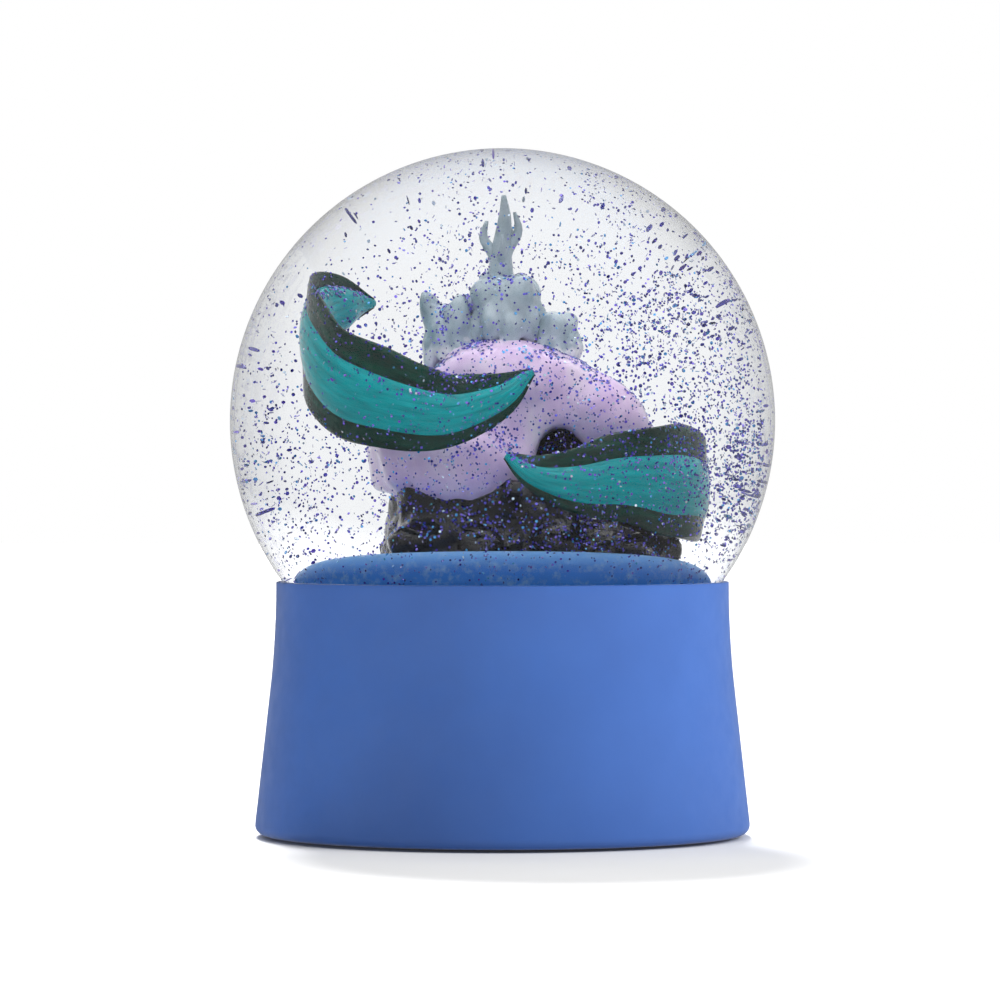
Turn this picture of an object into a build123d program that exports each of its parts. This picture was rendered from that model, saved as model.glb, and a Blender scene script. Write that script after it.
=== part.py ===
from build123d import *
import os
from math import atan2, cos, radians, sin, sqrt, tan

# Snow globe: a water-filled glass ball, stopped with rubber and glued into a hollow resin base.
# Millimetres. +Z is up and the origin is at the centre of the foam pad's underside.

# Glass ball
globe_diameter = 65.0
glass_wall = 1.5
neck_radius = 21.8
neck_length = 8.0
lip_radius = 22.7
lip_thickness = 1.8
lip_round = 0.6

# Base
base_height = 30.4
collar_radius = 27.0
collar_height = 6.6
collar_blend = 90.0
foot_radius = 29.8
foot_round = 1.3
rim_width = 0.6
rim_round = 0.2
base_wall = 3.0
shelf_thickness = 3.0
shelf_hole_radius = 13.0
seat_clearance = 0.1
bore_clearance = 0.4

# Glue in the groove of the seat
groove_height = 2.0
groove_drop = 1.0
groove_depth = 0.6

# Underside
pad_proud = 0.3
pad_thickness = 1.0
pad_margin = 1.2
plate_thickness = 1.6
plate_clearance = 0.1
plate_ledge = 1.6

# Stopper and its bead
bead_thickness = 0.4
flange_thickness = 2.0
plug_clearance = 0.4
plug_rise = 0.2
rib_count = 3
rib_height = 0.8
core_radius = 12.0
core_depth = 6.0

# Plinth that carries the scene
plinth_height = 10.1
plinth_clearance = 0.4
plinth_round = 2.0
boss_radius = 8.0
boss_length = 2.0
boss_clearance = 0.1

# Scene: its places are given for a plinth of this radius, from the centre of the plinth's top
carved_radius = 19.9
rock_height = 8.0
ledge_height = 4.2
rock_shoulder = 0.94
rock_crown = 0.87
rock_bevel = 0.9
boulder_depth = 11.0
boulder_round = 1.8
pin_radius = 1.0
pin_length = 5.0
pin_reach = 6.5
blade_thickness = 1.5
tip_thickness = 0.5
stalk_radius = 1.1

# Water: the middle stands still round the scene, and the outside turns with its glitter
water_gap = 0.2
still_height = 35.2
drift_inner_radius = 22.9
drift_outer_radius = 23.7
drift_bottom = 16.4
drift_top = 17.0
sink_travel = 5.0

# Glitter
flake_radius = 0.25
flake_thickness = 0.06
swirl_count = 84
sinking_count = 48
settled_count = 40
flake_glass_gap = 0.7
golden_angle = 137.50776

# Worked-out sizes and heights
globe_radius = globe_diameter / 2
inner_radius = globe_radius - glass_wall
seat_radius = globe_radius + seat_clearance
rim_inner_radius = collar_radius - rim_width
centre_z = base_height + sqrt(seat_radius**2 - rim_inner_radius**2)
neck_bore = neck_radius - glass_wall
neck_top_z = centre_z - sqrt(globe_radius**2 - neck_radius**2)
neck_bottom_z = neck_top_z - neck_length
bead_bottom_z = neck_bottom_z - bead_thickness
stopper_bottom_z = bead_bottom_z - flange_thickness
plug_top_z = neck_top_z + plug_rise
shelf_bottom_z = stopper_bottom_z - shelf_thickness
bore_radius = lip_radius + bore_clearance
plinth_radius = neck_bore - plinth_clearance
plinth_top_z = plug_top_z + plinth_height
plate_bottom_z = pad_thickness
plate_top_z = plate_bottom_z + plate_thickness
rebate_radius = foot_radius - base_wall - foot_round / 2
plate_radius = rebate_radius - plate_clearance
cavity_bottom_radius = rebate_radius - plate_ledge
cavity_top_radius = collar_radius - base_wall
pad_radius = plate_radius - pad_margin
scene_scale = plinth_radius / carved_radius
swirl_radius = inner_radius - water_gap
swirl_bore = plinth_radius + water_gap
still_top_z = plinth_top_z + still_height
pin_places = [(side * pin_reach, 0, plinth_top_z) for side in (-1, 1)]
FROM_BELOW = (Align.CENTER, Align.CENTER, Align.MIN)


def carved(x, y, z):
    """A point of the scene, given from the centre of the plinth's top."""
    return (x * scene_scale, y * scene_scale, plinth_top_z + z * scene_scale)


def blade_plane(angle, radius, height, climb):
    """The plane of one cross-section of a blade: it runs round the axis and climbs as it goes."""
    outward = Vector(cos(radians(angle)), sin(radians(angle)), 0)
    along = Vector(-sin(radians(angle)), cos(radians(angle)), climb)
    place = carved(radius * outward.X, radius * outward.Y, height)
    return Plane(origin=place, x_dir=outward, z_dir=along.normalized())


def flake_plane(x, y, z, turn, tilt):
    """The plane of one flake, turned about +Z and tilted from level."""
    return Plane(Location((x, y, z), (tilt, 0, turn)))


# ---- base ----

with BuildPart() as base_shell:
    with BuildSketch(Plane.XZ):
        with BuildLine():
            collar_bottom_z = base_height - collar_height
            Line((0, base_height), (collar_radius, base_height))
            Line((collar_radius, base_height), (collar_radius, collar_bottom_z))
            Line((collar_radius, collar_bottom_z), (foot_radius, pad_proud))
            Line((foot_radius, pad_proud), (0, pad_proud))
            Line((0, pad_proud), (0, base_height))
        make_face()
    revolve(axis=Axis.Z)
    outer_rings = base_shell.edges().filter_by(GeomType.CIRCLE).sort_by(Axis.Z)
    fillet(outer_rings[0], foot_round)
    # The blend between the collar and the flare starts below the collar's top
    flare_angle = atan2(foot_radius - collar_radius, collar_bottom_z - pad_proud)
    longest_blend = (collar_height - rim_round) / tan(flare_angle / 2)
    outer_rings = base_shell.edges().filter_by(GeomType.CIRCLE).sort_by(Axis.Z)
    fillet(outer_rings[-2], min(collar_blend, 0.9 * longest_blend))
    with Locations((0, 0, centre_z)):
        Sphere(seat_radius, mode=Mode.SUBTRACT)
    with Locations((0, 0, stopper_bottom_z)):
        Cylinder(bore_radius, base_height, align=FROM_BELOW, mode=Mode.SUBTRACT)
    with Locations((0, 0, shelf_bottom_z)):
        Cylinder(shelf_hole_radius, base_height, align=FROM_BELOW, mode=Mode.SUBTRACT)
    with Locations((0, 0, plate_top_z)):
        Cone(cavity_bottom_radius, cavity_top_radius, shelf_bottom_z - plate_top_z, align=FROM_BELOW,
             mode=Mode.SUBTRACT)
    Cylinder(rebate_radius, plate_top_z, align=FROM_BELOW, mode=Mode.SUBTRACT)
    groove_top_z = base_height - groove_drop
    groove_outer_radius = sqrt(globe_radius**2 - (centre_z - groove_top_z) ** 2) + groove_depth
    with Locations((0, 0, groove_top_z - groove_height)):
        Cylinder(groove_outer_radius, groove_height, align=FROM_BELOW, mode=Mode.SUBTRACT)
    rim_rings = base_shell.edges().filter_by(GeomType.CIRCLE).group_by(Axis.Z)[-1]
    fillet(rim_rings.sort_by(SortBy.RADIUS)[-1], rim_round)

with BuildPart() as glue_ring:
    with Locations((0, 0, groove_top_z - groove_height)):
        Cylinder(groove_outer_radius, groove_height, align=FROM_BELOW)
        Cylinder(bore_radius, groove_height, align=FROM_BELOW, mode=Mode.SUBTRACT)
    with Locations((0, 0, centre_z)):
        Sphere(globe_radius, mode=Mode.SUBTRACT)

with BuildPart() as bottom_plate:
    with Locations((0, 0, plate_bottom_z)):
        Cylinder(plate_radius, plate_thickness, align=FROM_BELOW)

with BuildPart() as foam_pad:
    Cylinder(pad_radius, pad_thickness, align=FROM_BELOW)

# ---- glass, stopper and bead ----

with BuildPart() as glass_globe:
    with Locations((0, 0, centre_z)):
        Sphere(globe_radius)
    with Locations((0, 0, neck_bottom_z)):
        Cylinder(neck_radius, centre_z - neck_bottom_z, align=FROM_BELOW)
        Cylinder(lip_radius, lip_thickness, align=FROM_BELOW)
    rings = glass_globe.edges().filter_by(GeomType.CIRCLE)
    fillet(rings.filter_by(lambda ring: ring.radius == lip_radius), lip_round)
    with Locations((0, 0, centre_z)):
        Sphere(inner_radius, mode=Mode.SUBTRACT)
    with Locations((0, 0, centre_z - globe_radius)):
        Cylinder(neck_bore, globe_radius, align=FROM_BELOW, mode=Mode.SUBTRACT)

with BuildPart() as seal_bead:
    with Locations((0, 0, bead_bottom_z)):
        Cylinder(lip_radius - lip_round, bead_thickness, align=FROM_BELOW)
        Cylinder(neck_bore - plug_clearance, bead_thickness, align=FROM_BELOW, mode=Mode.SUBTRACT)

with BuildPart() as rubber_stopper:
    plug_height = plug_top_z - stopper_bottom_z
    rib_pitch = (plug_top_z - neck_bottom_z) / (rib_count + 1)
    with Locations((0, 0, stopper_bottom_z)):
        Cylinder(neck_bore - plug_clearance, plug_height, align=FROM_BELOW)
        Cylinder(lip_radius, flange_thickness, align=FROM_BELOW)
    with Locations(*[(0, 0, neck_bottom_z + rib_pitch * (rib + 1)) for rib in range(rib_count)]):
        Cylinder(neck_bore, rib_height)
    with Locations((0, 0, stopper_bottom_z)):
        Cylinder(core_radius, core_depth, align=FROM_BELOW, mode=Mode.SUBTRACT)
    with Locations((0, 0, plug_top_z - boss_length)):
        Cylinder(boss_radius + boss_clearance, boss_length, align=FROM_BELOW, mode=Mode.SUBTRACT)

# ---- scene ----

with BuildPart() as plinth:
    with Locations((0, 0, plug_top_z)):
        Cylinder(plinth_radius, plinth_height, align=FROM_BELOW)
    fillet(plinth.faces().sort_by(Axis.Z)[-1].edges(), plinth_round)
    with Locations((0, 0, plug_top_z - boss_length)):
        Cylinder(boss_radius, boss_length, align=FROM_BELOW)
    with Locations(*pin_places):
        Cylinder(pin_radius, pin_length, mode=Mode.SUBTRACT)

rock_outline = [(-10.6, -5.5), (-5.0, -9.3), (2.0, -8.6), (7.5, -10.2),
                (9.0, 4.5), (3.5, 9.6), (-5.5, 9.0), (-11.0, 3.5)]
ledge_outline = [(4.0, -9.0), (10.5, -10.6), (15.6, -7.4), (16.6, 0.5), (13.4, 6.8), (4.0, 7.5)]

with BuildPart() as rock:
    for outline, top in ((rock_outline, rock_height), (ledge_outline, ledge_height)):
        for height, share in ((0, 1), (top - rock_bevel, rock_shoulder), (top, rock_crown)):
            with BuildSketch(Plane.XY.offset(carved(0, 0, height)[2])):
                with BuildLine():
                    Polyline([carved(x * share, y * share, 0)[:2] for x, y in outline], close=True)
                make_face()
        loft(ruled=True)
    with Locations(*pin_places):
        Cylinder(pin_radius, pin_length, mode=Mode.SUBTRACT)

with BuildPart() as rock_pins:
    with Locations(*pin_places):
        Cylinder(pin_radius, pin_length)

# The boulder arches over the ledge: its left foot is on the rock's top and its right foot on the ledge
boulder_outline = [
    (-11.2, rock_height), (-11.6, 11.6), (-8.6, 16.6), (-3.6, 19.8), (1.6, 20.4), (6.4, 18.9),
    (10.4, 16.2), (13.2, 12.4), (13.6, 8.0), (12.8, ledge_height),
    (9.2, ledge_height), (9.4, 9.6), (7.6, 12.6), (5.2, 13.8), (3.2, 12.0), (2.4, rock_height),
]

with BuildPart() as boulder:
    with BuildSketch(Plane.XZ):
        with BuildLine():
            Polyline([carved(x, 0, z)[::2] for x, z in boulder_outline], close=True)
        make_face()
    extrude(amount=boulder_depth / 2 * scene_scale, both=True)
    rounded_from_z = carved(0, 0, rock_height + 1)[2]
    side_edges = boulder.faces().filter_by(Axis.Y).edges()
    fillet(side_edges.filter_by(lambda edge: edge.center().Z > rounded_from_z), boulder_round * scene_scale)

with BuildPart() as coral_crown:
    with Locations(carved(0.3, 0.4, 23.8)):
        Sphere(3.9 * scene_scale)
    add(boulder.part, mode=Mode.SUBTRACT)

with BuildPart() as coral_left:
    with Locations(carved(-4.4, 0.8, 21.6)):
        Sphere(3.1 * scene_scale)
    add(boulder.part, mode=Mode.SUBTRACT)
    add(coral_crown.part, mode=Mode.SUBTRACT)

with BuildPart() as coral_right:
    with Locations(carved(4.6, 0.6, 21.2)):
        Sphere(2.8 * scene_scale)
    add(boulder.part, mode=Mode.SUBTRACT)
    add(coral_crown.part, mode=Mode.SUBTRACT)

with BuildPart() as coral_plume:
    with Locations(carved(-0.2, 0.8, 25.0)):
        Cone(2.2 * scene_scale, 0.6 * scene_scale, 9.6 * scene_scale, align=FROM_BELOW)
    add(coral_crown.part, mode=Mode.SUBTRACT)

# Blades: angle round the axis, distance from it, height and width of each cross-section
left_stations = [
    (-222, 14.2, 22.8, 0.8),
    (-198, 16.2, 23.4, 6.8),
    (-170, 17.4, 20.2, 10.2),
    (-142, 17.0, 16.5, 10.3),
    (-114, 16.4, 14.9, 8.2),
    (-94, 16.1, 16.0, 5.2),
    (-79, 16.0, 18.6, 0.8),
]
right_stations = [
    (-89, 17.0, 10.1, 0.8),
    (-78, 17.1, 8.2, 4.2),
    (-64, 17.3, 7.6, 7.0),
    (-46, 17.5, 7.9, 9.6),
    (-26, 17.6, 7.9, 11.0),
    (-6, 17.7, 7.8, 10.4),
    (18, 17.2, 7.6, 8.2),
    (42, 16.3, 7.3, 5.0),
    (60, 15.4, 7.2, 0.8),
]


def blade_sections(stations):
    """The plane, half thickness and half width of each cross-section of a blade."""
    sections = []
    for index, (angle, radius, height, width) in enumerate(stations):
        before = stations[max(index - 1, 0)]
        after = stations[min(index + 1, len(stations) - 1)]
        climb = (after[2] - before[2]) / (radians(after[0] - before[0]) * radius)
        thickness = tip_thickness if index in (0, len(stations) - 1) else blade_thickness
        sections.append((blade_plane(angle, radius, height, climb), thickness / 2, width / 2))
    return sections


with BuildPart() as kelp_left:
    for plane, half_thickness, half_width in blade_sections(left_stations):
        with BuildSketch(plane):
            Ellipse(half_thickness * scene_scale, half_width * scene_scale)
    loft()

with BuildPart() as kelp_right:
    for plane, half_thickness, half_width in blade_sections(right_stations):
        with BuildSketch(plane):
            Ellipse(half_thickness * scene_scale, half_width * scene_scale)
    loft()

# Stalks that join the blades' backs to the boulder and the rock
with BuildPart() as kelp_left_stalk:
    root_point, blade_point = Vector(carved(-9.0, -1.0, 13.0)), Vector(carved(-16.9, -4.4, 19.2))
    with BuildSketch(Plane(origin=root_point, z_dir=blade_point - root_point)):
        Circle(stalk_radius * scene_scale)
    extrude(amount=(blade_point - root_point).length)
    add(boulder.part, mode=Mode.SUBTRACT)
    add(kelp_left.part, mode=Mode.SUBTRACT)

with BuildPart() as kelp_right_stalk:
    root_point, blade_point = Vector(carved(12.0, -1.0, 2.6)), Vector(carved(17.7, -1.0, 5.2))
    with BuildSketch(Plane(origin=root_point, z_dir=blade_point - root_point)):
        Circle(stalk_radius * scene_scale)
    extrude(amount=(blade_point - root_point).length)
    add(rock.part, mode=Mode.SUBTRACT)
    add(boulder.part, mode=Mode.SUBTRACT)
    add(kelp_right.part, mode=Mode.SUBTRACT)

# ---- glitter ----

with BuildPart() as glitter_swirl:
    shell_radius = swirl_radius - flake_glass_gap
    places = []
    for flake in range(swirl_count):
        lift = -0.5 + 1.49 * (flake + 0.5) / swirl_count
        reach = shell_radius * sqrt(1 - lift**2)
        turn = flake * golden_angle
        places.append(flake_plane(reach * cos(radians(turn)), reach * sin(radians(turn)),
                                  centre_z + shell_radius * lift, turn, flake * golden_angle))
    with BuildSketch(*places):
        RegularPolygon(flake_radius, 6)
    extrude(amount=flake_thickness)

with BuildPart() as glitter_sinking:
    drift_radius = (drift_inner_radius + drift_outer_radius) / 2
    lowest_z = centre_z - drift_bottom + sink_travel + 2 * flake_radius
    highest_z = centre_z + drift_top - 2 * flake_radius
    places = []
    for flake in range(sinking_count):
        turn = flake * golden_angle
        height = lowest_z + (highest_z - lowest_z) * (flake + 0.5) / sinking_count
        places.append(flake_plane(drift_radius * cos(radians(turn)), drift_radius * sin(radians(turn)),
                                  height, turn, flake * golden_angle))
    with BuildSketch(*places):
        RegularPolygon(flake_radius, 6)
    extrude(amount=flake_thickness)

with BuildPart() as glitter_settled:
    rest_radius = plinth_radius - plinth_round
    places = []
    for flake in range(settled_count):
        turn = flake * 360 / settled_count
        places.append(flake_plane((rest_radius - flake_radius) * cos(radians(turn)),
                                  (rest_radius - flake_radius) * sin(radians(turn)), plinth_top_z, turn, 0))
    with BuildSketch(*places):
        RegularPolygon(flake_radius, 6)
    extrude(amount=flake_thickness)

# ---- water ----

with BuildPart() as liquid_still:
    with Locations((0, 0, plinth_top_z)):
        Cylinder(plinth_radius, still_height, align=FROM_BELOW)
    for piece in (plinth, rock, rock_pins, boulder, coral_crown, coral_left, coral_right, coral_plume,
                  kelp_left, kelp_left_stalk, kelp_right, kelp_right_stalk):
        add(piece.part, mode=Mode.SUBTRACT)

with BuildPart() as liquid_swirl:
    with Locations((0, 0, centre_z)):
        Sphere(swirl_radius)
    with Locations((0, 0, centre_z - globe_radius)):
        Cylinder(swirl_bore, still_top_z + water_gap - centre_z + globe_radius, align=FROM_BELOW,
                 mode=Mode.SUBTRACT)
    with BuildSketch(Plane.XZ):
        with Locations((drift_inner_radius, centre_z - drift_bottom)):
            Rectangle(drift_outer_radius - drift_inner_radius, drift_bottom + drift_top,
                      align=(Align.MIN, Align.MIN))
    revolve(axis=Axis.Z, mode=Mode.SUBTRACT)

# ---- files ----

pieces = {
    "base_shell": base_shell,
    "glue_ring": glue_ring,
    "bottom_plate": bottom_plate,
    "foam_pad": foam_pad,
    "glass_globe": glass_globe,
    "seal_bead": seal_bead,
    "rubber_stopper": rubber_stopper,
    "plinth": plinth,
    "rock": rock,
    "rock_pins": rock_pins,
    "boulder": boulder,
    "coral_crown": coral_crown,
    "coral_left": coral_left,
    "coral_right": coral_right,
    "coral_plume": coral_plume,
    "kelp_left": kelp_left,
    "kelp_left_stalk": kelp_left_stalk,
    "kelp_right": kelp_right,
    "kelp_right_stalk": kelp_right_stalk,
    "liquid_still": liquid_still,
    "liquid_swirl": liquid_swirl,
    "glitter_swirl": glitter_swirl,
    "glitter_sinking": glitter_sinking,
    "glitter_settled": glitter_settled,
}
os.makedirs("parts", exist_ok=True)
for name, piece in pieces.items():
    piece.part.label = name
    export_step(piece.part, f"parts/{name}.step")
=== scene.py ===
"""A small water globe: a glass ball of water and glitter over an undersea scene, on a flared base."""
import logging
from dataclasses import dataclass, field
from enum import Enum
from math import asin, cos, hypot, pi, radians, sin, sqrt
from random import Random
from typing import Iterable, Sequence

import bmesh
import bpy
from mathutils import Euler, Matrix, Vector, noise
from mathutils.bvhtree import BVHTree


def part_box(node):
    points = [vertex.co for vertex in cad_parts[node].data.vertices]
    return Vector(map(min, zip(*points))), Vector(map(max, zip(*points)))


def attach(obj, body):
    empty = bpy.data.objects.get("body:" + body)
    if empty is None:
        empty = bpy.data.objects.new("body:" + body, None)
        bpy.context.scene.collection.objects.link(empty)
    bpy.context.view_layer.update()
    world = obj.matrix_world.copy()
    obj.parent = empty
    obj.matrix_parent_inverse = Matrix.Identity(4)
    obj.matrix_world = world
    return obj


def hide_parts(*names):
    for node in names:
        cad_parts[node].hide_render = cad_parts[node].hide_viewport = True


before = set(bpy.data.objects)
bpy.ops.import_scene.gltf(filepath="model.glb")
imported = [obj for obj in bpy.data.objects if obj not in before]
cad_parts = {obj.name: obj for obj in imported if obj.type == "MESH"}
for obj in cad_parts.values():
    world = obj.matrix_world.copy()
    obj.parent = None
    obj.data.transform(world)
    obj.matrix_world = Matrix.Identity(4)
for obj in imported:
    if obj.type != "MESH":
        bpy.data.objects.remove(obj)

LOG = logging.getLogger("globe")
MM = 0.001
UP = Vector((0, 0, 1))
Colour = tuple[float, float, float, float]
Mesh = bmesh.types.BMesh
Vert = bmesh.types.BMVert
Socket = bpy.types.NodeSocket
Piece = bpy.types.Object
Material = bpy.types.Material


class Body(Enum):
    """The bodies that a piece can ride on."""

    STILL = "root"
    SWIRL = "swirl"
    FALLING = "falling_glitter"


def tint(red: int, green: int, blue: int) -> Colour:
    """A colour given in screen values, as the linear colour that a shader takes."""
    linear = []
    for value in (red, green, blue):
        share = value / 255
        linear.append(share / 12.92 if share <= 0.04045 else ((share + 0.055) / 1.055) ** 2.4)
    return (linear[0], linear[1], linear[2], 1.0)


def box_mm(node: str) -> tuple[Vector, Vector]:
    """The lowest and highest corner of a CAD node, in mm."""
    low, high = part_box(node)
    return low / MM, high / MM


def smooth_step(low: float, high: float, value: float) -> float:
    """0 below low and 1 above high, with a smooth rise between them."""
    share = min(max((value - low) / (high - low), 0.0), 1.0)
    return share * share * (3 - 2 * share)


def smooth_between(values: Sequence[float], share: float) -> float:
    """Reads a list as a smooth line.

    Args:
        values: The line's values at even steps.
        share: How far along the line, from 0 to 1.

    Returns:
        The value there, on a Catmull-Rom line.
    """
    place = min(max(share, 0.0), 1.0) * (len(values) - 1)
    start = min(int(place), len(values) - 2)
    t = place - start
    second, third = values[start], values[start + 1]
    first = values[start - 1] if start else 2 * second - third
    fourth = values[start + 2] if start + 2 < len(values) else 2 * third - second
    return 0.5 * (2 * second + (third - first) * t + (2 * first - 5 * second + 4 * third - fourth) * t**2
                  + (3 * second - first - 3 * third + fourth) * t**3)


@dataclass(frozen=True)
class Layout:
    """Heights and radii that the pieces share, in mm, as the frame gives them."""

    globe_radius: float
    centre_z: float
    neck_bottom_z: float
    base_top_z: float
    base_bottom_z: float
    foot_radius: float
    plinth_radius: float
    plinth_top_z: float
    plug_top_z: float
    still_top_z: float

    @classmethod
    def read(cls) -> "Layout":
        """Reads the layout from the boxes of the CAD nodes."""
        glass_low, glass_high = box_mm("glass_globe")
        base_low, base_high = box_mm("base_shell")
        plinth_high = box_mm("plinth")[1]
        return cls(
            globe_radius=glass_high.x,
            centre_z=glass_high.z - glass_high.x,
            neck_bottom_z=glass_low.z,
            base_top_z=base_high.z,
            base_bottom_z=base_low.z,
            foot_radius=base_high.x,
            plinth_radius=plinth_high.x,
            plinth_top_z=plinth_high.z,
            plug_top_z=box_mm("rubber_stopper")[1].z,
            still_top_z=box_mm("liquid_still")[1].z,
        )

    def carved(self, x: float, y: float, z: float) -> Vector:
        """A place in the scene, given from the centre of the plinth's top."""
        return Vector((x, y, self.plinth_top_z + z))


# ---- meshes ----


class Lathe:
    """A pen that draws half a section in mm and turns it about the globe's axis."""

    def __init__(self, radius: float, height: float) -> None:
        self.mesh = bmesh.new()
        self.pen = self.mesh.verts.new((radius, 0, height))
        self.first = self.pen
        self.corners: list[tuple[Vert, float, int]] = []

    def line(self, radius: float, height: float, round_by: float = 0.0, segments: int = 6) -> None:
        """Draws a line, and rounds its end by that length of edge once the section is done."""
        corner = self.mesh.verts.new((radius, 0, height))
        self.mesh.edges.new((self.pen, corner))
        self.pen = corner
        if round_by:
            self.corners.append((corner, round_by, segments))

    def arc(self, centre_height: float, turn: float, steps: int) -> None:
        """Swings the pen about a point of the axis, away from the top for a positive turn."""
        swept = bmesh.ops.spin(self.mesh, geom=[self.pen], cent=(0, 0, centre_height), axis=(0, 1, 0),
                               angle=turn, steps=steps)
        self.pen = next(item for item in swept["geom_last"] if isinstance(item, Vert))

    def close(self) -> None:
        """Joins the pen to the first point."""
        self.mesh.edges.new((self.pen, self.first))

    def turn(self, segments: int) -> Mesh:
        """Rounds the corners and turns the section.

        Args:
            segments: Steps of the full turn.

        Returns:
            The closed mesh, facing outwards.
        """
        for corner, offset, count in self.corners:
            bmesh.ops.bevel(self.mesh, geom=[corner], offset=offset, offset_type="OFFSET", segments=count,
                            profile=0.5, affect="VERTICES", material=-1)
        geometry = [*self.mesh.verts, *self.mesh.edges]
        bmesh.ops.spin(self.mesh, geom=geometry, cent=(0, 0, 0), axis=UP, angle=2 * pi, steps=segments,
                       use_merge=True)
        bmesh.ops.remove_doubles(self.mesh, verts=self.mesh.verts, dist=0.001)
        bmesh.ops.dissolve_degenerate(self.mesh, edges=self.mesh.edges, dist=0.0005)
        bmesh.ops.recalc_face_normals(self.mesh, faces=self.mesh.faces)
        return put_in_order(self.mesh)


def put_in_order(mesh: Mesh) -> Mesh:
    """Copies a mesh with its points and faces in an order that every run repeats.

    Args:
        mesh: The mesh, which is freed.

    Returns:
        The copy, with the same points and faces.
    """
    copy = bmesh.new()
    points = sorted(mesh.verts, key=lambda vertex: tuple(vertex.co))
    copies = [copy.verts.new(vertex.co) for vertex in points]
    order = {vertex: index for index, vertex in enumerate(points)}
    rings = []
    for face in mesh.faces:
        ring = [order[vertex] for vertex in face.verts]
        first = ring.index(min(ring))
        rings.append(ring[first:] + ring[:first])
    for ring in sorted(rings):
        copy.faces.new([copies[index] for index in ring])
    mesh.free()
    return copy


def voxelled(mesh: Mesh, voxel: float) -> Mesh:
    """Joins overlapping closed shells into one skin.

    Args:
        mesh: The shells, which are freed.
        voxel: Size of a voxel, in mm.

    Returns:
        The one skin.
    """
    data = bpy.data.meshes.new("shells")
    mesh.to_mesh(data)
    mesh.free()
    shells = bpy.data.objects.new("shells", data)
    bpy.context.collection.objects.link(shells)
    remesh = shells.modifiers.new("one skin", "REMESH")
    remesh.mode = "VOXEL"
    remesh.voxel_size = voxel
    skin_data = bpy.data.meshes.new_from_object(shells.evaluated_get(bpy.context.evaluated_depsgraph_get()))
    skin = bmesh.new()
    skin.from_mesh(skin_data)
    bpy.data.objects.remove(shells)
    bpy.data.meshes.remove(data)
    bpy.data.meshes.remove(skin_data)
    return skin


def roughened(mesh: Mesh, grain: float, depth: float) -> None:
    """Moves a skin's points in and out by a soft noise of that grain and depth, in mm."""
    mesh.normal_update()
    for vertex in mesh.verts:
        vertex.co += vertex.normal * depth * noise.fractal(vertex.co / grain, 1.0, 2.0, 3)


def smoothed(mesh: Mesh, rounds: int) -> None:
    """Relaxes a skin that number of times."""
    for _ in range(rounds):
        bmesh.ops.smooth_vert(mesh, verts=mesh.verts, factor=0.5, use_axis_x=True, use_axis_y=True,
                              use_axis_z=True)


def add_ball(mesh: Mesh, centre: Vector, radii: Sequence[float], tilt: float = 0.0) -> None:
    """Adds a closed egg shape with those three radii, leaning by tilt in the front view."""
    place = Matrix.Translation(centre) @ Matrix.Rotation(tilt, 4, "Y") @ Matrix.Diagonal((*radii, 1))
    bmesh.ops.create_icosphere(mesh, subdivisions=3, radius=1.0, matrix=place)


def add_tube(mesh: Mesh, line: Sequence[Vector], radii: Sequence[float], steps: int,
             sides: int = 14) -> None:
    """Adds a closed tapered tube along a smooth line.

    Args:
        mesh: Where it goes.
        line: Points that the tube passes.
        radii: The tube's radius at even steps.
        steps: Number of cross-sections.
        sides: Points of a cross-section.
    """
    def place(share: float) -> Vector:
        """The tube's middle at that share of its length."""
        return Vector([smooth_between([point[axis] for point in line], share) for axis in range(3)])

    rings = []
    for step in range(steps):
        share = step / (steps - 1)
        along = (place(share + 0.01) - place(share - 0.01)).normalized()
        radius = smooth_between(radii, share)
        matrix = Matrix.Translation(place(share)) @ along.to_track_quat("Z", "Y").to_matrix().to_4x4()
        is_end = step in (0, steps - 1)
        ring = bmesh.ops.create_circle(mesh, cap_ends=is_end, segments=sides, radius=radius, matrix=matrix)
        rings.append(ring["verts"])
    bridge_rings(mesh, rings)


def ring_edges(ring: Iterable[Vert]) -> list[bmesh.types.BMEdge]:
    """The edges that join the points of one ring."""
    points = set(ring)
    return list({edge for vertex in points for edge in vertex.link_edges
                 if edge.other_vert(vertex) in points})


def bridge_rings(mesh: Mesh, rings: Sequence[list[Vert]]) -> list[bmesh.types.BMFace]:
    """Joins each ring to the next one, and returns the new faces."""
    faces = []
    for first, second in zip(rings, rings[1:]):
        bridged = bmesh.ops.bridge_loops(mesh, edges=[*ring_edges(first), *ring_edges(second)])
        faces.extend(bridged["faces"])
    return faces


def make_piece(name: str, mesh: Mesh, materials: Sequence[Material],
               body: Body = Body.STILL, stands_for: Sequence[str] = (), sharp_from: float = 180.0,
               ) -> Piece:
    """Turns a mesh in mm into a finished piece.

    Args:
        name: The piece's name.
        mesh: The mesh, which is freed.
        materials: Materials in the order of the faces' material numbers.
        body: The body that the piece rides on.
        stands_for: CAD nodes that the piece replaces.
        sharp_from: Angle in degrees from which an edge is shaded sharp; 0 leaves every face flat.

    Returns:
        The piece, with its place in its mesh.
    """
    bmesh.ops.scale(mesh, vec=(MM, MM, MM), verts=mesh.verts)
    data = bpy.data.meshes.new(name)
    mesh.to_mesh(data)
    mesh.free()
    for material in materials:
        data.materials.append(material)
    if sharp_from:
        data.shade_smooth()
    if 0 < sharp_from < 180:
        data.set_sharp_from_angle(angle=radians(sharp_from))
    piece = bpy.data.objects.new(name, data)
    bpy.context.collection.objects.link(piece)
    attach(piece, body.value)
    if stands_for:
        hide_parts(*stands_for)
    LOG.info("%s: %d faces on %s", name, len(data.polygons), body.value)
    return piece


# ---- materials ----


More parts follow.
